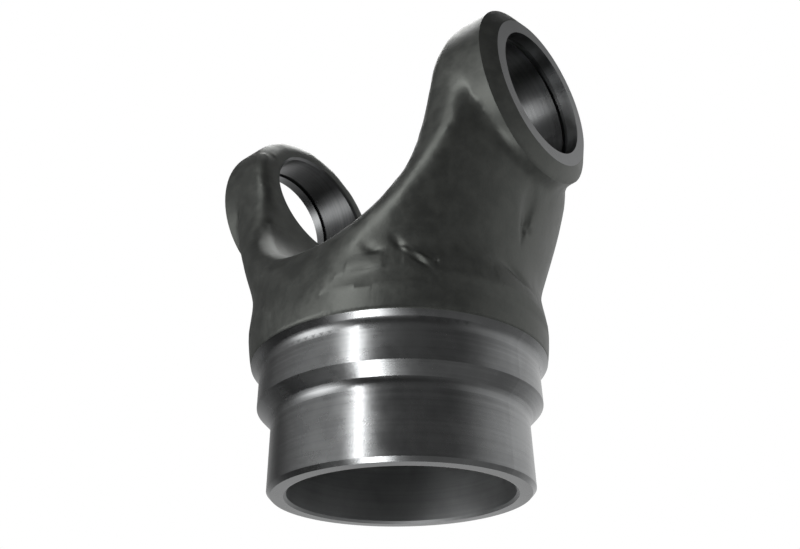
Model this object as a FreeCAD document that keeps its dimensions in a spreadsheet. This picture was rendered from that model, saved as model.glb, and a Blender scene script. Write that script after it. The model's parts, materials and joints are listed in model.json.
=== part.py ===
"""Weld yoke of a drive shaft: one forging with a machined tube end and two eared arms.

The frame is in millimetres. +Z runs along the tube axis, from the ring face that the
part stands on towards the ears. X is the axis of the two bearing bores. The origin is
the centre of the ring face.
"""

import FreeCAD
import Part
import Sketcher
import math
import os

# Driving dimensions: name, value, what it is
SIZES = [
    ("tube_radius", 57.4, "outside radius of the shaft tube, and of the weld band"),
    ("tube_wall", 5.9, "wall of the shaft tube, from the pilot to the band"),
    ("pilot_wall", 7.5, "wall of the pilot, round the hollow"),
    ("pilot_length", 27.5, "ring face to the foot of the weld bevel"),
    ("tip_chamfer", 1.5, "chamfer where the pilot starts"),
    ("bevel_length", 5.8, "length of the weld bevel along the axis"),
    ("band_length", 14.2, "length of the turned band above the bevel"),
    ("step_length", 3.3, "length of the sloping step from the band to the hub"),
    ("step_rise", 3.7, "height of the step from the band to the hub"),
    ("corner_round", 5.0, "rounding at the feet of the weld bevel and the step"),
    ("cavity_depth", 70.0, "ring face to the roof of the hollow"),
    ("cavity_cone", 18.0, "width and height of the conical edge of the hollow's roof"),
    ("mouth_chamfer", 1.0, "chamfer at the mouth of the hollow"),
    ("floor_wall", 19.2, "wall between the hollow's roof and the throat"),
    ("flare_start", 75.0, "height where the hub starts to flare into the arms"),
    ("flare_angle", 20.4, "slope of the flare from the tube axis, in degrees"),
    ("flare_hollow", 35.0, "radius of the flare's hollow foot"),
    ("flare_crown", 50.0, "radius of the flare's rounded top"),
    ("face_half_width", 82.5, "tube axis to the machined face of an ear"),
    ("face_lead", 4.6, "how far a machined face stands out past the flare"),
    ("shoulder_length", 4.3, "machined face to the corner of an ear's rim"),
    ("bore_height", 156.3, "ring face to the axis of the bearing bores"),
    ("bore_radius", 28.5, "radius of the bearing bores"),
    ("ear_wall", 12.5, "wall of an ear round its bore"),
    ("face_wall", 5.6, "width of the machined face round the bore"),
    ("flank_hollow", 178.0, "radius of the hollow flanks below the ears"),
    ("flank_shoulder", 60.0, "radius of the shoulders between the flanks and the hub"),
    ("shoulder_reach", 0.3, "how far the shoulder's arc ends outside the hub"),
    ("edge_bevel", 2.0, "bevel of the edges between flare and flanks"),
    ("ear_gap", 101.0, "distance between the ears at the height of the bores"),
    ("ear_lean", 12.25, "lean of the ears' inner faces, in degrees"),
    ("rim_bevel", 3.5, "bevel of the throat's rim"),
    ("ring_groove_depth", 1.5, "depth of the retaining ring grooves"),
    ("ring_groove_width", 2.6, "width of the retaining ring grooves"),
    ("ring_groove_inset", 5.0, "machined face to the outer wall of the ring groove"),
    ("bore_bevel", 1.2, "bevel of a bore at an ear's inner face"),
]

# Sizes that follow from the driving ones: name, formula, what it is
FOLLOWING = [
    ("pilot_radius", "tube_radius - tube_wall", "radius of the pilot that enters the tube"),
    ("hub_radius", "tube_radius + step_rise", "radius of the forged hub"),
    ("cavity_radius", "pilot_radius - pilot_wall", "radius of the hollow in the tube end"),
    ("throat_floor", "cavity_depth + floor_wall", "ring face to the floor of the throat"),
    ("swing_radius", "face_half_width - face_lead", "largest radius of the arms"),
    ("boss_half_width", "face_half_width - shoulder_length", "tube axis to an ear's rim"),
    ("ear_radius", "bore_radius + ear_wall", "radius of the ears about the bore axis"),
    ("face_radius", "bore_radius + face_wall", "outside radius of the machined face"),
    ("ring_groove_radius", "bore_radius + ring_groove_depth", "radius of the ring grooves"),
]

# Room by which a cut's tool runs past what it cuts
OVERRUN = 4.0
# Cosine from which a direction counts as lying along an axis
ALONG = 0.9999

doc = FreeCAD.newDocument("ForgedYoke")
sheet = doc.addObject("Spreadsheet::Sheet", "Sizes")
for row, (alias, value, note) in enumerate(SIZES + FOLLOWING, start=1):
    sheet.set(f"A{row}", note)
    sheet.setAlias(f"B{row}", alias)
    sheet.set(f"B{row}", f"={value}")
doc.recompute()


def size(alias):
    """Return a driving dimension from the sheet."""
    return float(sheet.get(alias))


body = doc.addObject("PartDesign::Body", "ForgedYokeBody")
body.Label = "forged_yoke"


class Outline:
    """A closed outline in a sketch on one of the body's own planes.

    Its points are drawn where the sizes put them, then held by constraints that
    take their values from the sheet.
    """

    def __init__(self, name, role):
        self.sketch = body.newObject("Sketcher::SketchObject", name)
        plane = next(f for f in body.Origin.OriginFeatures if f.Role == role)
        self.sketch.AttachmentSupport = (plane, [""])
        self.sketch.MapMode = "FlatFace"

    def line(self, start, end, construction=False):
        segment = Part.LineSegment(
            FreeCAD.Vector(start[0], start[1], 0), FreeCAD.Vector(end[0], end[1], 0)
        )
        return self.sketch.addGeometry(segment, construction)

    def arc(self, centre, radius, start_angle, end_angle):
        circle = Part.Circle(
            FreeCAD.Vector(centre[0], centre[1], 0), FreeCAD.Vector(0, 0, 1), radius
        )
        arc = Part.ArcOfCircle(circle, start_angle, end_angle)
        return self.sketch.addGeometry(arc, False)

    def fix(self, kind, *where):
        self.sketch.addConstraint(Sketcher.Constraint(kind, *where))

    def drive(self, kind, *where, by):
        """Hold a dimension at the value of an expression of the sheet's cells."""
        index = self.sketch.addConstraint(Sketcher.Constraint(kind, *where))
        self.sketch.setExpression(f"Constraints[{index}]", by)

    def place(self, geometry, end, x=None, y=None, x_by=None, y_by=None):
        """Hold a point at distances from the sketch's own axes."""
        if x_by == "0":
            self.fix("PointOnObject", geometry, end, -2)
        elif x_by:
            self.drive("DistanceX", -1, 1, geometry, end, x, by=x_by)
        if y_by == "0":
            self.fix("PointOnObject", geometry, end, -1)
        elif y_by:
            self.drive("DistanceY", -1, 1, geometry, end, y, by=y_by)

    def polygon(self, corners):
        """Draw a closed polygon whose corners are (x, y, x expression, y expression)."""
        count = len(corners)
        lines = []
        for i, corner in enumerate(corners):
            after = corners[(i + 1) % count]
            lines.append(self.line(corner[:2], after[:2]))
        for i, line in enumerate(lines):
            self.fix("Coincident", line, 2, lines[(i + 1) % count], 1)
        for line, (x, y, x_by, y_by) in zip(lines, corners):
            self.place(line, 1, x, y, x_by, y_by)


def feature(kind, name, outline, **settings):
    """Add a feature of the body that is made from an outline."""
    made = body.newObject(kind, name)
    made.Profile = outline.sketch
    for key, value in settings.items():
        setattr(made, key, value)
    outline.sketch.Visibility = False
    doc.recompute()
    return made


def tube_end():
    """Turn the pilot, the weld bevel, the band and the step."""
    pilot = size("pilot_radius")
    tip = size("tip_chamfer")
    tube = size("tube_radius")
    hub = size("hub_radius")
    bend = size("corner_round")
    bevel = size("pilot_length")
    band = bevel + size("bevel_length")
    step = band + size("band_length")
    top = step + size("step_length")
    band_by = "Sizes.pilot_length + Sizes.bevel_length"
    step_by = band_by + " + Sizes.band_length"
    top_by = step_by + " + Sizes.step_length"

    outline = Outline("TubeEndSketch", "XZ_Plane")

    def hollow_corner(x, z, end_x, end_z, x_by, z_by):
        """Draw the round corner from the upright at (x, z) to the slope to an end."""
        slope = math.atan2(end_x - x, end_z - z)
        reach = bend * math.tan(slope / 2)
        leave = (x + reach * math.sin(slope), z + reach * math.cos(slope))
        corner_arc = outline.arc((x + bend, z - reach), bend, math.pi - slope, math.pi)
        slope_line = outline.line(leave, (end_x, end_z))
        mark = outline.sketch.addGeometry(Part.Point(FreeCAD.Vector(x, z, 0)), True)
        outline.fix("Tangent", corner_arc, 1, slope_line, 1)
        outline.fix("PointOnObject", mark, 1, slope_line)
        outline.drive("Radius", corner_arc, bend, by="Sizes.corner_round")
        outline.place(mark, 1, x, z, x_by, z_by)
        return corner_arc, slope_line, z - reach

    bevel_arc, bevel_line, pilot_top = hollow_corner(
        pilot, bevel, tube, band, "Sizes.pilot_radius", "Sizes.pilot_length"
    )
    step_arc, step_line, band_top = hollow_corner(
        tube, step, hub, top, "Sizes.tube_radius", step_by
    )
    ring = outline.line((0, 0), (pilot - tip, 0))
    chamfer = outline.line((pilot - tip, 0), (pilot, tip))
    pilot_wall = outline.line((pilot, tip), (pilot, pilot_top))
    band_wall = outline.line((tube, band), (tube, band_top))
    roof = outline.line((hub, top), (0, top))
    axis = outline.line((0, top), (0, 0))
    for before, after in (
        (ring, chamfer), (chamfer, pilot_wall), (bevel_line, band_wall),
        (step_line, roof), (roof, axis), (axis, ring),
    ):
        outline.fix("Coincident", before, 2, after, 1)
    outline.fix("Tangent", pilot_wall, 2, bevel_arc, 2)
    outline.fix("Tangent", band_wall, 2, step_arc, 2)
    outline.fix("Vertical", pilot_wall)
    outline.fix("Vertical", band_wall)
    outline.fix("Horizontal", roof)
    outline.place(ring, 1, 0, 0, "0", "0")
    outline.place(ring, 2, pilot - tip, 0, "Sizes.pilot_radius - Sizes.tip_chamfer", "0")
    outline.place(chamfer, 2, pilot, tip, "Sizes.pilot_radius", "Sizes.tip_chamfer")
    outline.place(bevel_line, 2, tube, band, "Sizes.tube_radius", band_by)
    outline.place(step_line, 2, hub, top, "Sizes.hub_radius", top_by)
    outline.fix("PointOnObject", axis, 1, -2)
    return feature(
        "PartDesign::Revolution", "TubeEnd", outline,
        ReferenceAxis=(outline.sketch, ["V_Axis"]), Angle=360.0,
    )


def hub_and_flare():
    """Turn the hub and the flare that bounds the arms on their outer sides."""
    base_by = "Sizes.pilot_length + Sizes.bevel_length + Sizes.band_length + Sizes.step_length"
    top_by = "Sizes.bore_height + Sizes.ear_radius"
    base = size("pilot_length") + size("bevel_length") + size("band_length") + size("step_length")
    top = size("bore_height") + size("ear_radius")
    angle = math.radians(size("flare_angle"))
    hub = size("hub_radius")
    swing = size("swing_radius")
    hollow = size("flare_hollow")
    crown = size("flare_crown")
    start = size("flare_start")
    foot = (hub + hollow * (1 - math.cos(angle)), start + hollow * math.sin(angle))
    head_x = swing - crown * (1 - math.cos(angle))
    head = (head_x, foot[1] + (head_x - foot[0]) / math.tan(angle))
    crest = head[1] + crown * math.sin(angle)

    outline = Outline("HubSketch", "XZ_Plane")
    floor = outline.line((0, base), (hub, base))
    wall = outline.line((hub, base), (hub, start))
    hollow_arc = outline.arc((hub + hollow, start), hollow, math.pi - angle, math.pi)
    slope = outline.line(foot, head)
    crown_arc = outline.arc((swing - crown, crest), crown, -angle, 0)
    rim = outline.line((swing, crest), (swing, top))
    roof = outline.line((swing, top), (0, top))
    axis = outline.line((0, top), (0, base))

    outline.fix("Coincident", floor, 2, wall, 1)
    outline.fix("Tangent", wall, 2, hollow_arc, 2)
    outline.fix("Tangent", hollow_arc, 1, slope, 1)
    outline.fix("Tangent", slope, 2, crown_arc, 1)
    outline.fix("Tangent", crown_arc, 2, rim, 1)
    outline.fix("Coincident", rim, 2, roof, 1)
    outline.fix("Coincident", roof, 2, axis, 1)
    outline.fix("Coincident", axis, 2, floor, 1)
    outline.fix("Horizontal", floor)
    outline.fix("Vertical", wall)
    outline.fix("Vertical", rim)
    outline.fix("Horizontal", roof)
    outline.fix("Vertical", axis)
    outline.place(floor, 1, 0, base, "0", base_by)
    outline.place(wall, 2, hub, start, "Sizes.hub_radius", "Sizes.flare_start")
    outline.drive("Radius", hollow_arc, hollow, by="Sizes.flare_hollow")
    outline.drive("Radius", crown_arc, crown, by="Sizes.flare_crown")
    outline.drive("Angle", slope, math.pi / 2 - angle, by="90 - Sizes.flare_angle")
    outline.place(rim, 2, swing, top, "Sizes.swing_radius", top_by)
    return feature(
        "PartDesign::Revolution", "HubAndFlare", outline,
        ReferenceAxis=(outline.sketch, ["V_Axis"]), Angle=360.0,
    )


def flanks():
    """Cut both flanks: round over the ears, hollow below them, and on to the hub."""
    height = size("bore_height")
    ear = size("ear_radius")
    hollow = size("flank_hollow")
    shoulder = size("flank_shoulder")
    foot_y = size("hub_radius") + size("shoulder_reach")
    turn = math.acos(1 - (foot_y - ear) / (hollow + shoulder))
    foot_z = height - (hollow + shoulder) * math.sin(turn)
    out = size("swing_radius") + OVERRUN
    top = height + ear + OVERRUN

    outline = Outline("FlankSketch", "YZ_Plane")
    over = outline.arc((0, height), ear, 0, math.pi)
    hollows = [
        outline.arc((ear + hollow, height), hollow, math.pi, math.pi + turn),
        outline.arc((-ear - hollow, height), hollow, -turn, 0),
    ]
    shoulders = [
        outline.arc((foot_y - shoulder, foot_z), shoulder, 0, turn),
        outline.arc((shoulder - foot_y, foot_z), shoulder, math.pi - turn, math.pi),
    ]
    right_foot = outline.line((foot_y, foot_z), (out, foot_z))
    right_side = outline.line((out, foot_z), (out, top))
    roof = outline.line((out, top), (-out, top))
    left_side = outline.line((-out, top), (-out, foot_z))
    left_foot = outline.line((-out, foot_z), (-foot_y, foot_z))

    outline.fix("Tangent", over, 1, hollows[0], 1)
    outline.fix("Tangent", over, 2, hollows[1], 2)
    outline.fix("Tangent", hollows[0], 2, shoulders[0], 2)
    outline.fix("Tangent", hollows[1], 1, shoulders[1], 1)
    outline.fix("Coincident", right_foot, 2, right_side, 1)
    outline.fix("Coincident", right_side, 2, roof, 1)
    outline.fix("Coincident", roof, 2, left_side, 1)
    outline.fix("Coincident", left_side, 2, left_foot, 1)
    outline.fix("Perpendicular", shoulders[0], 1, right_foot, 1)
    outline.fix("Perpendicular", shoulders[1], 2, left_foot, 2)
    outline.fix("Horizontal", right_foot)
    outline.fix("Vertical", right_side)
    outline.fix("Horizontal", roof)
    outline.fix("Vertical", left_side)
    outline.fix("Horizontal", left_foot)
    outline.place(over, 3, 0, height, "0", "Sizes.bore_height")
    outline.drive("Radius", over, ear, by="Sizes.ear_radius")
    foot_by = "Sizes.hub_radius + Sizes.shoulder_reach"
    for hollow_arc, shoulder_arc in zip(hollows, shoulders):
        outline.drive("Radius", hollow_arc, hollow, by="Sizes.flank_hollow")
        outline.drive("Radius", shoulder_arc, shoulder, by="Sizes.flank_shoulder")
        outline.drive("DistanceY", -1, 1, hollow_arc, 3, height, by="Sizes.bore_height")
    outline.drive("DistanceX", -1, 1, shoulders[0], 1, foot_y, by=foot_by)
    outline.drive("DistanceX", shoulders[1], 2, -1, 1, foot_y, by=foot_by)
    out_by = f"Sizes.swing_radius + {OVERRUN}"
    outline.drive("DistanceX", -1, 1, right_side, 1, out, by=out_by)
    outline.drive("DistanceX", left_side, 1, -1, 1, out, by=out_by)
    outline.drive(
        "DistanceY", -1, 1, roof, 1, top,
        by=f"Sizes.bore_height + Sizes.ear_radius + {OVERRUN}",
    )
    return feature(
        "PartDesign::Pocket", "Flanks", outline, SideType="Symmetric", Type="ThroughAll",
    )


def ear_bosses():
    """Add the round rim of each ear, its conical shoulder and its machined face."""
    height = size("bore_height")
    base = size("boss_half_width")
    face = size("face_half_width")
    ear_top = height + size("ear_radius")
    face_top = height + size("face_radius")
    height_by = "Sizes.bore_height"
    ear_by = "Sizes.bore_height + Sizes.ear_radius"
    face_by = "Sizes.bore_height + Sizes.face_radius"
    outline = Outline("BossSketch", "XZ_Plane")
    outline.polygon([
        (face, height, "Sizes.face_half_width", height_by),
        (face, face_top, "Sizes.face_half_width", face_by),
        (base, ear_top, "Sizes.boss_half_width", ear_by),
        (-base, ear_top, "-Sizes.boss_half_width", ear_by),
        (-face, face_top, "-Sizes.face_half_width", face_by),
        (-face, height, "-Sizes.face_half_width", height_by),
    ])
    axis = outline.line((-face, height), (face, height), construction=True)
    outline.fix("Coincident", axis, 1, 5, 1)
    outline.fix("Coincident", axis, 2, 0, 1)
    return feature(
        "PartDesign::Revolution", "EarBosses", outline,
        ReferenceAxis=(outline.sketch, ["Axis0"]), Angle=360.0,
    )


def throat():
    """Cut the throat between the arms: a round floor that runs into leaning sides."""
    height = size("bore_height")
    gap = size("ear_gap") / 2
    lean = math.radians(size("ear_lean"))
    floor = size("throat_floor")
    top = height + size("ear_radius") + OVERRUN
    cos_lean = math.cos(lean)
    sin_lean = math.sin(lean)
    bend = (gap * cos_lean - (height - floor) * sin_lean) / (1 - sin_lean)
    foot = (bend * cos_lean, floor + bend * (1 - sin_lean))
    head = gap + (top - height) * math.tan(lean)

    outline = Outline("ThroatSketch", "XZ_Plane")
    round_floor = outline.arc((0, floor + bend), bend, math.pi + lean, 2 * math.pi - lean)
    right = outline.line(foot, (head, top))
    roof = outline.line((head, top), (-head, top))
    left = outline.line((-head, top), (-foot[0], foot[1]))
    bore_mark = outline.sketch.addGeometry(Part.Point(FreeCAD.Vector(gap, height, 0)), True)
    outline.fix("Tangent", round_floor, 2, right, 1)
    outline.fix("Coincident", right, 2, roof, 1)
    outline.fix("Coincident", roof, 2, left, 1)
    outline.fix("Tangent", left, 2, round_floor, 1)
    outline.fix("Symmetric", roof, 1, roof, 2, -2)
    outline.fix("PointOnObject", round_floor, 3, -2)
    outline.fix("PointOnObject", bore_mark, 1, right)
    outline.place(bore_mark, 1, gap, height, "Sizes.ear_gap / 2", "Sizes.bore_height")
    outline.drive("Angle", right, math.pi / 2 - lean, by="90 - Sizes.ear_lean")
    outline.drive(
        "Radius", round_floor, bend,
        by="(Sizes.ear_gap / 2 * cos(Sizes.ear_lean)"
        " - (Sizes.bore_height - Sizes.throat_floor) * sin(Sizes.ear_lean))"
        " / (1 - sin(Sizes.ear_lean))",
    )
    outline.drive(
        "DistanceY", -1, 1, roof, 1, top,
        by=f"Sizes.bore_height + Sizes.ear_radius + {OVERRUN}",
    )
    return feature(
        "PartDesign::Pocket", "Throat", outline, SideType="Symmetric", Type="ThroughAll",
    )


def hollow():
    """Bore the hollow of the tube end, with a conical roof edge and a chamfered mouth."""
    wall = size("cavity_radius")
    depth = size("cavity_depth")
    cone = size("cavity_cone")
    chamfer = size("mouth_chamfer")
    wall_by = "Sizes.cavity_radius"
    outline = Outline("HollowSketch", "XZ_Plane")
    outline.polygon([
        (0, 0, "0", "0"),
        (wall + chamfer, 0, wall_by + " + Sizes.mouth_chamfer", "0"),
        (wall, chamfer, wall_by, "Sizes.mouth_chamfer"),
        (wall, depth - cone, wall_by, "Sizes.cavity_depth - Sizes.cavity_cone"),
        (wall - cone, depth, wall_by + " - Sizes.cavity_cone", "Sizes.cavity_depth"),
        (0, depth, "0", "Sizes.cavity_depth"),
    ])
    return feature(
        "PartDesign::Groove", "Hollow", outline,
        ReferenceAxis=(outline.sketch, ["V_Axis"]), Angle=360.0,
    )


def bearing_bores():
    """Bore both ears in line, and cut a retaining ring groove near each face."""
    height = size("bore_height")
    radius = size("bore_radius")
    outline = Outline("BoreSketch", "YZ_Plane")
    circle = outline.sketch.addGeometry(
        Part.Circle(FreeCAD.Vector(0, height, 0), FreeCAD.Vector(0, 0, 1), radius), False
    )
    outline.drive("Radius", circle, radius, by="Sizes.bore_radius")
    outline.place(circle, 3, 0, height, "0", "Sizes.bore_height")
    feature(
        "PartDesign::Pocket", "BearingBores", outline, SideType="Symmetric", Type="ThroughAll",
    )

    deep = size("ring_groove_radius")
    outer = size("face_half_width") - size("ring_groove_inset")
    inner = outer - size("ring_groove_width")
    outer_by = "Sizes.face_half_width - Sizes.ring_groove_inset"
    inner_by = outer_by + " - Sizes.ring_groove_width"
    top_by = "Sizes.bore_height + Sizes.ring_groove_radius"
    outline = Outline("RingGrooveSketch", "XZ_Plane")
    sides = []
    for near, far in ((inner, outer), (-outer, -inner)):
        corners = [(near, height), (far, height), (far, height + deep), (near, height + deep)]
        lines = [outline.line(corners[i], corners[(i + 1) % 4]) for i in range(4)]
        for i, line in enumerate(lines):
            outline.fix("Coincident", line, 2, lines[(i + 1) % 4], 1)
        for i in (0, 2):
            outline.fix("Horizontal", lines[i])
            outline.fix("Vertical", lines[i + 1])
        outline.drive("DistanceY", -1, 1, lines[0], 1, height, by="Sizes.bore_height")
        outline.drive("DistanceY", -1, 1, lines[2], 1, height + deep, by=top_by)
        sides.append(lines)
    outline.drive("DistanceX", -1, 1, sides[0][0], 1, inner, by=inner_by)
    outline.drive("DistanceX", -1, 1, sides[0][0], 2, outer, by=outer_by)
    outline.drive("DistanceX", sides[1][0], 1, -1, 1, outer, by=outer_by)
    outline.drive("DistanceX", sides[1][0], 2, -1, 1, inner, by=inner_by)
    axis = outline.line((-outer, height), (outer, height), construction=True)
    outline.fix("Coincident", axis, 1, sides[1][0], 1)
    outline.fix("Coincident", axis, 2, sides[0][0], 2)
    return feature(
        "PartDesign::Groove", "RingGrooves", outline,
        ReferenceAxis=(outline.sketch, ["Axis0"]), Angle=360.0,
    )


def surface_group(face):
    """Name the part of the yoke that a face of the forging belongs to."""
    surface = face.Surface
    if isinstance(surface, Part.Plane):
        leans = 1 - ALONG < abs(surface.Axis.x) < ALONG
        return "throat" if leans else "plane"
    if isinstance(surface, Part.SurfaceOfRevolution):
        return "turned"
    axis = getattr(surface, "Axis", None)
    if axis is None:
        return "other"
    if abs(axis.y) > ALONG:
        return "throat"
    if abs(axis.x) > ALONG:
        return "flank"
    return "turned"


def edges_between(shape, first, second):
    """Name the edges where two groups of faces meet."""
    found = []
    for number, edge in enumerate(shape.Edges, start=1):
        groups = [surface_group(face) for face in shape.ancestorsOfType(edge, Part.Face)]
        if sorted(groups) == sorted([first, second]):
            found.append(f"Edge{number}")
    return found


def bevelled(name, base, edges, size_by):
    """Bevel edges of the feature that came last."""
    bevel = body.newObject("PartDesign::Chamfer", name)
    bevel.Base = (base, edges)
    bevel.setExpression("Size", size_by)
    doc.recompute()
    return bevel


def finish():
    """Stop unless every feature worked, then write the one solid."""
    broken = [item.Name for item in doc.Objects if {"Invalid", "Error"} & set(item.State)]
    if broken:
        raise RuntimeError(f"features that failed: {broken}")
    shape = body.Shape
    if shape.isNull() or not shape.isValid() or len(shape.Solids) != 1:
        raise RuntimeError("the body isn't one valid solid")
    os.makedirs("parts", exist_ok=True)
    shape.exportStep("parts/forged_yoke.step")


hub_and_flare()
last = flanks()
bevelled("EdgeBevels", last, edges_between(last.Shape, "flank", "turned"), "Sizes.edge_bevel")
tube_end()
ear_bosses()
last = throat()
rim = edges_between(last.Shape, "throat", "flank")
rim += edges_between(last.Shape, "throat", "other")
bevelled("RimBevels", last, rim, "Sizes.rim_bevel")
hollow()
last = bearing_bores()
mouths = edges_between(last.Shape, "throat", "flank")
bevelled("BoreBevels", last, mouths, "Sizes.bore_bevel")
finish()
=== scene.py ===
"""Looks of a forged drive shaft yoke: dark forging skin and bright machined faces.

The frame is the part's own, in metres: +Z along the tube axis, X along the axis of the
bearing bores, and the origin at the centre of the ring face that the yoke stands on.
"""

import json
import math

import bmesh
import bpy
import numpy as np
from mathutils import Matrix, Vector
from mathutils.kdtree import KDTree

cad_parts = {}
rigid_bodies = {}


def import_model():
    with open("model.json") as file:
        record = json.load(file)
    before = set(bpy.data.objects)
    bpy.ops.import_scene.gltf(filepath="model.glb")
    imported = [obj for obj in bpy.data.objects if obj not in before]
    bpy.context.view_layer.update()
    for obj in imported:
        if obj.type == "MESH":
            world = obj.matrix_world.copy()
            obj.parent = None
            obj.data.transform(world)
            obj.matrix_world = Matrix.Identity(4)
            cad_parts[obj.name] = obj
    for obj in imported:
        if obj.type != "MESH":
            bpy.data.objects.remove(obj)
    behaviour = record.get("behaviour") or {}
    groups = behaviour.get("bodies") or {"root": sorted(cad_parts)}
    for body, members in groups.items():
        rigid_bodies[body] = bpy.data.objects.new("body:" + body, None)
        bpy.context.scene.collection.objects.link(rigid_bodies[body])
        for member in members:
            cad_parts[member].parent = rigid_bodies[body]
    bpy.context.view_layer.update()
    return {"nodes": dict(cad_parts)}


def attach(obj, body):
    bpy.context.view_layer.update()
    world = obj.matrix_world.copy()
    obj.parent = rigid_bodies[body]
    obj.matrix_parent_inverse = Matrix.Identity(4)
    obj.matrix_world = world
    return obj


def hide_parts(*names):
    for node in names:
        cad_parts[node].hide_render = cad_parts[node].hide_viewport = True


MM = 0.001
NODE = "forged_yoke"
# Less than any true length or area here, to keep divisions safe
TINY = 1e-12

# Places on the forging that tell its faces apart, in metres
STEP_TOP = 51.0 * MM
BORE_HEIGHT = 156.3 * MM
FACE_RADIUS = 34.1 * MM
CAVITY_REACH = 46.0 * MM
CAVITY_DEPTH = 70.0 * MM
GROOVE_FAR = 77.5 * MM
SLACK = 0.4 * MM
WELD = 0.01 * MM
# Largest part of a normal along an axis that counts as none
LEVEL = 0.02

# Longest edges of the finer mesh, away from the forged edges and near them, in metres
LONG_EDGE = 5.0 * MM
FINE_EDGE = 2.3 * MM
# How often the edges that are too long are halved
REFINEMENTS = 6
# Rise of a curve's middle, as a share of how much its ends lean
CURVE_RISE = 1 / 8
# Most that the middle of an edge is lifted, as a share of the edge
MOST_BULGE = 0.25
# Reach of the rounding beside a forged edge, how often its points move, and how far each time
SOFT_CORE = 2.5 * MM
SOFT_REACH = 6.5 * MM
SOFT_ROUNDS = 18
SOFT_STEP = 0.5

# Marks of the forging: place, half length, half width and depth in millimetres, and tilt in degrees
MARKS = [
    (39.3, -46.9, 77.8, 3.0, 1.6, 0.9, -50),
    (41.4, -45.0, 75.2, 2.0, 1.0, -0.5, -40),
    (44.7, -41.6, 69.9, 3.6, 1.1, 0.8, -38),
    (45.9, -40.3, 71.0, 3.0, 0.9, -0.4, -38),
    (48.8, -36.8, 70.0, 1.4, 1.0, 0.5, 80),
    (30.1, -53.2, 76.8, 3.5, 2.0, 0.5, -30),
    (32.0, -52.0, 74.9, 2.5, 1.4, 0.35, 20),
    (28.8, -53.9, 66.5, 4.5, 1.6, 0.4, 5),
    (47.3, -38.6, 65.6, 2.5, 1.2, 0.35, -20),
    (66.1, 2.8, 95.0, 2.2, 1.6, 0.6, 0),
    (60.7, -0.8, 75.0, 8.5, 1.8, 1.1, -17),
    (-36.0, -52.0, 95.0, 24.0, 15.0, -1.8, 90),
]
# Shortest edge that a mark asks for, and reach of its finer mesh as a share of its half length
MARK_EDGE = 0.8 * MM
MARK_REACH = 1.7
# A mark's depth by how far the surface turns from it: full above 0.6, none below 0.2
MARK_GAIN = 2.5
MARK_LOSS = 0.5

# Colours and finishes
SKIN_DARK = (0.104, 0.109, 0.102)
SKIN_BRIGHT = (0.140, 0.146, 0.136)
SKIN_METALLIC = 0.9
# Shares of the noises that blend into one tone
PATCH_SHARE = 0.35
LINE_SHARE = 0.3
MOTTLE_SHARE = 0.7
STEEL_TINT = (0.98, 1.0, 1.01)
ROUGHNESS_SPREAD = 0.08
# The span of a noise that most of its values lie in
NOISE_SPAN = (0.3, 0.7)
# Machined faces by kind: material, axis across the tool lines, roughness, dark and bright tone
MACHINED = {
    "turned": ("turned_steel", "Z", 0.22, 0.24, 0.32),
    "faced": ("faced_steel", "X", 0.26, 0.24, 0.30),
    "bored": ("bored_steel", "X", 0.26, 0.10, 0.15),
    # The hollow's tones are lighter than the turned faces'. That is painted light, standing in for
    # the light that reaches into the tube's hollow; its higher roughness is the surface's own
    "hollow": ("hollow_steel_painted_light", "Z", 0.48, 0.30, 0.38),
}

# Camera, as the photograph was taken
CAMERA_PLACE = (0.20364, -0.24456, -0.07584)
CAMERA_TURN = (121.9225, 0.5995, 40.5053)
CAMERA_LENS = 36.48
CAMERA_SENSOR = 36.0
CAMERA_SHIFT = (0.0087, -0.0593)
CAMERA_NEAR = 0.01

SHELL_RADIUS = 2.6
# Directions of the shell's lights: turn round Z in degrees, and height
BACK_AIM = (88, -0.45)
SIDE_AIM = (-122, 0.25)
LOW_AIM = (-118, -0.27)
# The shell's lights: from and to as the cosine with their direction, and the strength at each
BACK_GLOW = (-0.2, 0.8, 0.10, 0.8)
# What is left of the light from behind, by the height on the shell
BELOW_SHARE = (-0.6, 0.0, 0.3, 1.0)
ABOVE_SHARE = (0.55, 0.95, 1.0, 0.3)
# The lights before the yoke
SIDE_GLOW = (0.6, 1.0, 0.0, 0.26)
LOW_GLOW = (0.93, 0.985, 0.0, 2.4)
WIDE_GLOW = (0.8, 1.0, 0.0, 0.45)
# Strength of the background as a fill, where nothing shows or mirrors it
WORLD_FILL = 0.5
# Lamps: name, place, target, width, height and power
LAMPS = [
    ("strip_lamp", (0.12, -1.19, 0.45), (0, 0, 0.05), 0.10, 1.3, 6.0),
    ("low_lamp", (0.0, -0.45, -1.0), (0, 0, 0.05), 0.25, 0.25, 2.5),
    ("top_lamp", (-0.5, 0.5, 1.6), (0, 0, 0.1), 0.9, 0.9, 12.0),
]
FLOOR_REACH = 3.0
FLOOR_DROP = 0.2 * MM
FLOOR_WHITE = 0.9


def clear_defaults():
    """Remove what a new Blender file holds."""
    for item in list(bpy.data.objects):
        bpy.data.objects.remove(item)


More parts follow.
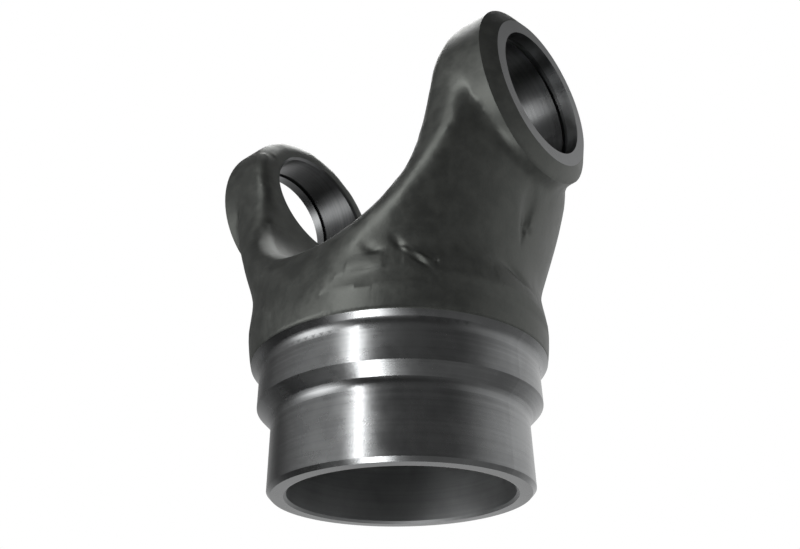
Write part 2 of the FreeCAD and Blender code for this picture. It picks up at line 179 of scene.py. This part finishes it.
class Nodes:
    """A small helper that adds and joins the nodes of one node tree."""

    def __init__(self, tree):
        self.tree = tree
        tree.nodes.clear()

    def add(self, kind, settings=None, **inputs):
        node = self.tree.nodes.new(kind)
        for key, value in (settings or {}).items():
            setattr(node, key, value)
        for key, value in inputs.items():
            self.feed(node, key, value)
        return node

    def feed(self, node, name, value):
        """Give an input, told by its name or number, a value or what another node puts out."""
        socket = node.inputs[name]
        if isinstance(value, bpy.types.NodeSocket):
            self.tree.links.new(value, socket)
        else:
            socket.default_value = value

    def math(self, operation, *values):
        node = self.add("ShaderNodeMath", {"operation": operation})
        for index, value in enumerate(values):
            self.feed(node, index, value)
        return node.outputs[0]

    def ramp(self, factor, low, high, to_low=0.0, to_high=1.0):
        """Map a value smoothly from one span onto another."""
        node = self.add("ShaderNodeMapRange", {"interpolation_type": "SMOOTHSTEP"})
        for name, value in (
            ("Value", factor), ("From Min", low), ("From Max", high),
            ("To Min", to_low), ("To Max", to_high),
        ):
            self.feed(node, name, value)
        return node.outputs["Result"]

    def noise(self, place, scale, detail=2.0, roughness=0.5):
        node = self.add(
            "ShaderNodeTexNoise", Vector=place, Scale=scale, Detail=detail, Roughness=roughness
        )
        return node.outputs[0]

    def lines(self, along, scale):
        """Fine lines across one coordinate."""
        settings = {"noise_dimensions": "1D"}
        node = self.add("ShaderNodeTexNoise", settings, W=along, Scale=scale, Detail=3.0)
        return node.outputs[0]

    def colour(self, factor, low, high):
        node = self.add("ShaderNodeMix", {"data_type": "RGBA"})
        self.tree.links.new(factor, node.inputs[0])
        node.inputs[6].default_value = (*low, 1.0)
        node.inputs[7].default_value = (*high, 1.0)
        return node.outputs[2]

    def bump(self, height, strength, distance, normal=None):
        node = self.add("ShaderNodeBump", Height=height, Strength=strength, Distance=distance)
        if normal is not None:
            self.tree.links.new(normal, node.inputs["Normal"])
        return node.outputs[0]

    def metal(self, metallic, colour, roughness, normal):
        """Show a metal surface."""
        shader = self.add("ShaderNodeBsdfPrincipled", Metallic=metallic)
        self.feed(shader, "Base Color", colour)
        self.feed(shader, "Roughness", roughness)
        self.feed(shader, "Normal", normal)
        self.add("ShaderNodeOutputMaterial", Surface=shader.outputs[0])


def new_material(name):
    """A new material, and the helper that builds its nodes."""
    material = bpy.data.materials.new(name)
    material.use_nodes = True
    return material, Nodes(material.node_tree)


def forging_skin():
    """Dark scale and shot-blasted skin: mottled, softly glossy and finely grained."""
    material, make = new_material("forging_skin")
    place = make.add("ShaderNodeTexCoord").outputs["Object"]
    mottle = make.noise(place, scale=160.0, detail=4.0, roughness=0.6)
    patches = make.noise(place, scale=30.0)
    grain = make.noise(place, scale=1500.0, detail=3.0, roughness=0.6)
    waves = make.noise(place, scale=130.0)
    blend = make.math("ADD", mottle, make.math("MULTIPLY", patches, PATCH_SHARE))
    colour = make.colour(make.ramp(blend, low=0.45, high=0.95), SKIN_DARK, SKIN_BRIGHT)
    roughness = make.ramp(mottle, *NOISE_SPAN, to_low=0.42, to_high=0.5)
    rolls = make.bump(waves, strength=0.25, distance=0.4 * MM)
    normal = make.bump(grain, strength=0.3, distance=0.12 * MM, normal=rolls)
    make.metal(SKIN_METALLIC, colour, roughness, normal)
    return material


def machined_steel(name, along, rough, dark, bright):
    """Cut steel with fine tool lines across one coordinate: Z for turned, X for bored."""
    material, make = new_material(name)
    place = make.add("ShaderNodeTexCoord").outputs["Object"]
    split = make.add("ShaderNodeSeparateXYZ", Vector=place)
    fine = make.lines(split.outputs[along], scale=2600.0)
    coarse = make.lines(split.outputs[along], scale=600.0)
    mottle = make.noise(place, scale=45.0, detail=4.0, roughness=0.6)
    streaks = make.math("MULTIPLY", coarse, LINE_SHARE)
    blend = make.math("ADD", streaks, make.math("MULTIPLY", mottle, MOTTLE_SHARE))
    tints = [[share * tone for share in STEEL_TINT] for tone in (dark, bright)]
    colour = make.colour(make.ramp(blend, low=0.35, high=0.65), *tints)
    roughness = make.ramp(mottle, *NOISE_SPAN, to_low=rough, to_high=rough + ROUGHNESS_SPREAD)
    normal = make.bump(fine, strength=0.2, distance=0.05 * MM)
    make.metal(1.0, colour, roughness, normal)
    return material


def unit_rows(vectors):
    """Each row as a vector of length one."""
    return vectors / np.maximum(np.linalg.norm(vectors, axis=1), TINY)[:, None]


def number_pairs(start, end):
    """Number the pairs, either way round: where each number comes first, and every number."""
    span = max(start.max(), end.max()) + 1
    names = np.minimum(start, end) * span + np.maximum(start, end)
    return np.unique(names, return_index=True, return_inverse=True)[1:]


class Surface:
    """The forging's surface as patches: one for each face of the solid, with true normals."""

    def __init__(self, mesh):
        self.points = np.array([vertex.co for vertex in mesh.vertices])
        self.normals = np.zeros_like(self.points)
        for loop in mesh.loops:
            self.normals[loop.vertex_index] = mesh.corner_normals[loop.index].vector
        self.faces = np.array([face.vertices for face in mesh.polygons])
        places = np.round(self.points / WELD).astype(int)
        self.welds = np.unique(places, axis=0, return_inverse=True)[1].ravel()
        self.patch = self.find_patches()

    def find_patches(self):
        """Number the patches: vertices that no chain of faces joins lie on different ones."""
        leader = list(range(len(self.points)))

        def lead(index):
            while leader[index] != index:
                leader[index] = leader[leader[index]]
                index = leader[index]
            return index

        for first, second, third in self.faces:
            leader[lead(second)] = lead(first)
            leader[lead(third)] = lead(first)
        return np.array([lead(index) for index in range(len(self.points))])

    def kind(self, patch):
        """Tell what a patch is: hollow, turned, faced, bored, bevel or skin."""
        points = self.points[self.patch == patch]
        normals = self.normals[self.patch == patch]
        low = points.min(axis=0)
        high = points.max(axis=0)
        across = np.hypot(points[:, 0], points[:, 1])
        roof = abs(low[2] - CAVITY_DEPTH) < SLACK and across.max() < CAVITY_REACH
        if roof or (across.max() < CAVITY_REACH and high[2] - low[2] > SLACK):
            return "hollow"
        if high[2] < STEP_TOP:
            return "turned"
        centred = abs(low[1] + high[1]) < SLACK and abs(low[2] + high[2] - 2 * BORE_HEIGHT) < SLACK
        if centred and high[1] < FACE_RADIUS + SLACK:
            return "faced" if np.abs(points[:, 0]).min() > GROOVE_FAR - SLACK else "bored"
        around = points[:, 0] * normals[:, 1] - points[:, 1] * normals[:, 0]
        around = around / np.maximum(across, SLACK)
        for sideways in (normals[:, 0], normals[:, 1], around):
            if np.abs(sideways).max() < LEVEL:
                return "skin"
        return "skin" if centred else "bevel"

    def soften_bevels(self, on_bevel):
        """Give the borders of bevels the normals of the faces beside them."""
        beside = np.zeros((self.welds.max() + 1, 3))
        for index in np.flatnonzero(~on_bevel):
            beside[self.welds[index]] += self.normals[index]
        size = np.linalg.norm(beside, axis=1)[self.welds]
        border = on_bevel & (size > 0)
        self.normals[border] = beside[self.welds[border]] / size[border][:, None]

    def side_lifts(self, start, end):
        """How far the middle of each side moves, to lie on the curve of its normals."""
        along = self.points[end] - self.points[start]
        lean = (along * self.normals[end]).sum(axis=1)[:, None] * self.normals[end]
        lean -= (along * self.normals[start]).sum(axis=1)[:, None] * self.normals[start]
        lift = lean * CURVE_RISE
        bulge = np.linalg.norm(lift, axis=1)
        limit = MOST_BULGE * np.linalg.norm(along, axis=1)
        return lift * np.minimum(1.0, limit / np.maximum(bulge, TINY))[:, None]

    def halve_edges(self, longest):
        """Halve the edges that are too long, alike on both sides of a border of patches."""
        start = self.faces.ravel()
        end = self.faces[:, [1, 2, 0]].ravel()
        first, number = number_pairs(self.welds[start], self.welds[end])
        middles = (self.points[start] + self.points[end]) / 2
        length = np.linalg.norm(self.points[end] - self.points[start], axis=1)[first]
        marked = np.flatnonzero((length > longest(middles[first], length))[number])
        if marked.size == 0:
            return
        lift = self.side_lifts(start, end)
        order = np.argsort((lift * lift).sum(axis=1))
        most = np.zeros(len(first), dtype=int)
        most[number[order]] = order

        chosen, side_of = number_pairs(start[marked], end[marked])
        chosen = marked[chosen]
        pair = number[chosen]
        names = np.full(len(start), -1)
        names[marked] = len(self.points) + side_of
        new_normals = unit_rows(self.normals[start[chosen]] + self.normals[end[chosen]])
        self.welds = np.concatenate([self.welds, self.welds.max() + 1 + pair])
        self.points = np.concatenate([self.points, middles[chosen] + lift[most[pair]]])
        self.normals = np.concatenate([self.normals, new_normals])
        self.patch = np.concatenate([self.patch, self.patch[start[chosen]]])
        self.split_faces(names.reshape(-1, 3))

    def split_faces(self, middles):
        """Split each triangle at the middles of its sides, where there are any."""
        count = (middles >= 0).sum(axis=1)
        turn = np.where(count == 2, np.argmin(middles, axis=1) + 1, np.argmax(middles, axis=1))
        order = (np.arange(3) + turn[:, None]) % 3
        a, b, c = np.take_along_axis(self.faces, order, axis=1).T
        ab, bc, ca = np.take_along_axis(middles, order, axis=1).T
        pieces = [self.faces[count == 0]]
        for number, corners in (
            (1, (a, ab, c)), (1, (ab, b, c)),
            (2, (a, ab, c)), (2, (ab, bc, c)), (2, (ab, b, bc)),
            (3, (a, ab, ca)), (3, (ab, b, bc)), (3, (ca, bc, c)), (3, (ab, bc, ca)),
        ):
            pieces.append(np.stack(corners, axis=1)[count == number])
        self.faces = np.concatenate(pieces)


def tree_of(points):
    """A search tree of points."""
    tree = KDTree(len(points))
    for index, point in enumerate(points):
        tree.insert(point, index)
    tree.balance()
    return tree


def near_test(points):
    """A test of whether a place is near the forged edges, where the mesh is fine."""
    tree = tree_of(points)
    return lambda place: tree.find(place)[2] < SOFT_REACH + SOFT_CORE


def length_rule(is_near):
    """A rule for the longest edges: shorter near the forged edges and at the marks."""

    def longest(places, lengths):
        allowed = np.full(len(places), LONG_EDGE)
        for index in np.flatnonzero((lengths > FINE_EDGE) & (lengths < LONG_EDGE)):
            if is_near(places[index]):
                allowed[index] = FINE_EDGE
        for x, y, z, length, width, _, _ in MARKS:
            away = np.linalg.norm(places - np.array([x, y, z]) * MM, axis=1)
            at_mark = away < MARK_REACH * length * MM
            allowed[at_mark] = np.minimum(allowed[at_mark], max(MARK_EDGE, width * MM / 2))
        return allowed

    return longest


def soft_weight(points, edge_points, is_near):
    """How far each point takes part in the rounding: fully near a forged edge, then less."""
    tree = tree_of(edge_points)
    reach = np.array([tree.find(point)[2] if is_near(point) else SOFT_REACH for point in points])
    weight = np.clip((SOFT_REACH - reach) / (SOFT_REACH - SOFT_CORE), 0.0, 1.0)
    return weight * weight * (3 - 2 * weight)


def normals_of(points, faces):
    """The normals of points, each from the faces around it by their area."""
    corners = points[faces]
    across = np.cross(corners[:, 1] - corners[:, 0], corners[:, 2] - corners[:, 0])
    normals = np.zeros_like(points)
    for corner in range(3):
        for axis in range(3):
            normals[:, axis] += np.bincount(
                faces[:, corner], weights=across[:, axis], minlength=len(points)
            )
    return unit_rows(normals)


def round_edges(surface, on_bevel, fixed, is_near):
    """Even out the forged edges, and give them the normals of what comes of it."""
    welds = surface.welds
    points = np.zeros((welds.max() + 1, 3))
    points[welds] = surface.points
    weight = soft_weight(points, points[np.unique(welds[on_bevel])], is_near)
    weight[welds[fixed]] = 0.0
    faces = welds[surface.faces]
    start = faces.ravel()
    end = faces[:, [1, 2, 0]].ravel()
    count = np.maximum(np.bincount(start, minlength=len(points)), 1)
    for _ in range(SOFT_ROUNDS):
        for axis in range(3):
            total = np.bincount(start, weights=points[end, axis], minlength=len(points))
            points[:, axis] += SOFT_STEP * weight * (total / count - points[:, axis])
    normals = normals_of(points, faces)
    share = weight[welds][:, None]
    surface.points = points[welds]
    surface.normals = unit_rows((1 - share) * surface.normals + share * normals[welds])


def press_mark(surface, x, y, z, length, width, depth, tilt):
    """Press a dent into the skin, or raise a burr where the depth is below zero."""
    place = np.array([x, y, z]) * MM
    length, width, depth = length * MM, width * MM, depth * MM
    nearest = np.argmin(np.linalg.norm(surface.points - place, axis=1))
    outward = surface.normals[nearest]
    level = np.cross((0.0, 0.0, 1.0), outward)
    level /= np.linalg.norm(level)
    steep = np.cross(outward, level)
    turn = math.radians(tilt)
    along = math.cos(turn) * level + math.sin(turn) * steep
    across = math.cos(turn) * steep - math.sin(turn) * level
    offset = surface.points - surface.points[nearest]
    u = offset @ along / length
    v = offset @ across / width
    facing = np.maximum(surface.normals @ outward, 0.0)
    fall = depth * np.exp(-u * u - v * v) * np.clip(MARK_GAIN * facing - MARK_LOSS, 0.0, 1.0)
    fall = fall * (np.abs(offset @ outward) < length + width)
    # The steepness of the dent's walls, which tilts the normals
    slope = -2 * (fall * u / length)[:, None] * along
    slope -= 2 * (fall * v / width)[:, None] * across
    surface.points = surface.points - fall[:, None] * surface.normals
    surface.normals = unit_rows(surface.normals + slope)


def dressed_yoke(frame):
    """The forging again, with a finer surface, rounded edges and a finish for each face."""
    surface = Surface(frame["nodes"][NODE].data)
    kinds = {patch: surface.kind(patch) for patch in np.unique(surface.patch)}
    bevels = [patch for patch, kind in kinds.items() if kind == "bevel"]
    machined = [patch for patch, kind in kinds.items() if kind in MACHINED]
    on_bevel = np.isin(surface.patch, bevels)
    surface.soften_bevels(on_bevel)
    is_near = near_test(surface.points[on_bevel])
    longest = length_rule(is_near)
    for _ in range(REFINEMENTS):
        surface.halve_edges(longest)
    on_bevel = np.isin(surface.patch, bevels)
    round_edges(surface, on_bevel, np.isin(surface.patch, machined), is_near)
    for mark in MARKS:
        press_mark(surface, *mark)

    mesh = bpy.data.meshes.new("yoke_surface")
    mesh.from_pydata(surface.points.tolist(), [], surface.faces.tolist())
    mesh.materials.append(forging_skin())
    slots = {"skin": 0, "bevel": 0}
    for kind, finish in MACHINED.items():
        slots[kind] = len(mesh.materials)
        mesh.materials.append(machined_steel(*finish))
    for face in mesh.polygons:
        face.use_smooth = True
        face.material_index = slots[kinds[surface.patch[face.vertices[0]]]]
    mesh.normals_split_custom_set_from_vertices(surface.normals.tolist())
    piece = bpy.data.objects.new("yoke_surface", mesh)
    bpy.context.scene.collection.objects.link(piece)
    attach(piece, "root")
    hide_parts(NODE)


def camera():
    """The camera of the photograph."""
    data = bpy.data.cameras.new("camera")
    data.sensor_width = CAMERA_SENSOR
    data.lens = CAMERA_LENS
    data.shift_x, data.shift_y = CAMERA_SHIFT
    data.clip_start = CAMERA_NEAR
    holder = bpy.data.objects.new("camera", data)
    holder.location = CAMERA_PLACE
    holder.rotation_euler = [math.radians(turn) for turn in CAMERA_TURN]
    bpy.context.scene.collection.objects.link(holder)
    bpy.context.scene.camera = holder


def world():
    """A white background, also in metal and glass, and a softer fill for the rest."""
    holder = bpy.data.worlds.new("studio")
    bpy.context.scene.world = holder
    holder.use_nodes = True
    make = Nodes(holder.node_tree)
    path = make.add("ShaderNodeLightPath").outputs
    seen = make.math("MAXIMUM", path["Is Camera Ray"], path["Is Glossy Ray"])
    seen = make.math("MAXIMUM", seen, path["Is Transmission Ray"])
    strength = make.ramp(seen, 0.0, 1.0, to_low=WORLD_FILL, to_high=1.0)
    backdrop = make.add("ShaderNodeBackground", Color=(1.0, 1.0, 1.0, 1.0), Strength=strength)
    make.add("ShaderNodeOutputWorld", Surface=backdrop.outputs[0])


def direction(azimuth, height):
    """A direction, by its turn round Z in degrees and its height."""
    turn = math.radians(azimuth)
    return Vector((math.cos(turn), math.sin(turn), height)).normalized()


def studio_shell():
    """The studio's dark side, met only by reflections: bright behind the yoke, dark before it."""
    mesh = bpy.data.meshes.new("studio_shell")
    build = bmesh.new()
    bmesh.ops.create_uvsphere(build, u_segments=48, v_segments=24, radius=SHELL_RADIUS)
    build.to_mesh(mesh)
    build.free()
    material, make = new_material("studio_shell")
    place = make.add("ShaderNodeTexCoord").outputs["Object"]

    def towards(axis):
        """The cosine between a place on the shell and an axis."""
        aim = make.add("ShaderNodeVectorMath", {"operation": "DOT_PRODUCT"})
        make.tree.links.new(place, aim.inputs[0])
        aim.inputs[1].default_value = axis / SHELL_RADIUS
        return aim.outputs["Value"]

    height = towards(Vector((0, 0, 1)))
    low = towards(direction(*LOW_AIM))
    behind = make.ramp(towards(direction(*BACK_AIM)), *BACK_GLOW)
    behind = make.math("MULTIPLY", behind, make.ramp(height, *BELOW_SHARE))
    behind = make.math("MULTIPLY", behind, make.ramp(height, *ABOVE_SHARE))
    before = make.math("ADD", make.ramp(low, *LOW_GLOW), make.ramp(low, *WIDE_GLOW))
    before = make.math("ADD", make.ramp(towards(direction(*SIDE_AIM)), *SIDE_GLOW), before)
    emit = make.add("ShaderNodeEmission", Strength=make.math("ADD", behind, before))
    make.add("ShaderNodeOutputMaterial", Surface=emit.outputs[0])
    mesh.materials.append(material)
    shell = bpy.data.objects.new("studio_shell", mesh)
    shell.visible_camera = False
    shell.visible_diffuse = False
    shell.visible_transmission = False
    shell.visible_volume_scatter = False
    shell.visible_shadow = False
    bpy.context.scene.collection.objects.link(shell)


def area_lamp(name, place, target, width, height, power):
    """A rectangular lamp that faces its target."""
    data = bpy.data.lights.new(name, "AREA")
    data.shape = "RECTANGLE"
    data.size = width
    data.size_y = height
    data.energy = power
    lamp = bpy.data.objects.new(name, data)
    aim = Vector(target) - Vector(place)
    lamp.location = place
    lamp.rotation_euler = aim.to_track_quat("-Z", "Y").to_euler()
    bpy.context.scene.collection.objects.link(lamp)


def floor():
    """A pale floor that is seen from above only, with the yoke's shadow on it."""
    mesh = bpy.data.meshes.new("floor")
    corners = [(-1, -1), (1, -1), (1, 1), (-1, 1)]
    places = [(x * FLOOR_REACH, y * FLOOR_REACH, -FLOOR_DROP) for x, y in corners]
    mesh.from_pydata(places, [], [(0, 1, 2, 3)])
    material, make = new_material("floor")
    path = make.add("ShaderNodeLightPath").outputs
    back = make.add("ShaderNodeNewGeometry").outputs["Backfacing"]
    shown = make.math("MULTIPLY", path["Is Camera Ray"], make.math("SUBTRACT", 1.0, back))
    clear = make.add("ShaderNodeBsdfTransparent")
    matt = make.add("ShaderNodeBsdfDiffuse", Color=(FLOOR_WHITE, FLOOR_WHITE, FLOOR_WHITE, 1.0))
    mix = make.add("ShaderNodeMixShader")
    make.tree.links.new(shown, mix.inputs[0])
    make.tree.links.new(clear.outputs[0], mix.inputs[1])
    make.tree.links.new(matt.outputs[0], mix.inputs[2])
    make.add("ShaderNodeOutputMaterial", Surface=mix.outputs[0])
    mesh.materials.append(material)
    plane = bpy.data.objects.new("floor", mesh)
    bpy.context.scene.collection.objects.link(plane)


clear_defaults()
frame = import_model()
bpy.context.scene.view_settings.view_transform = "Standard"
dressed_yoke(frame)
camera()
world()
studio_shell()
floor()
for row in LAMPS:
    area_lamp(*row)
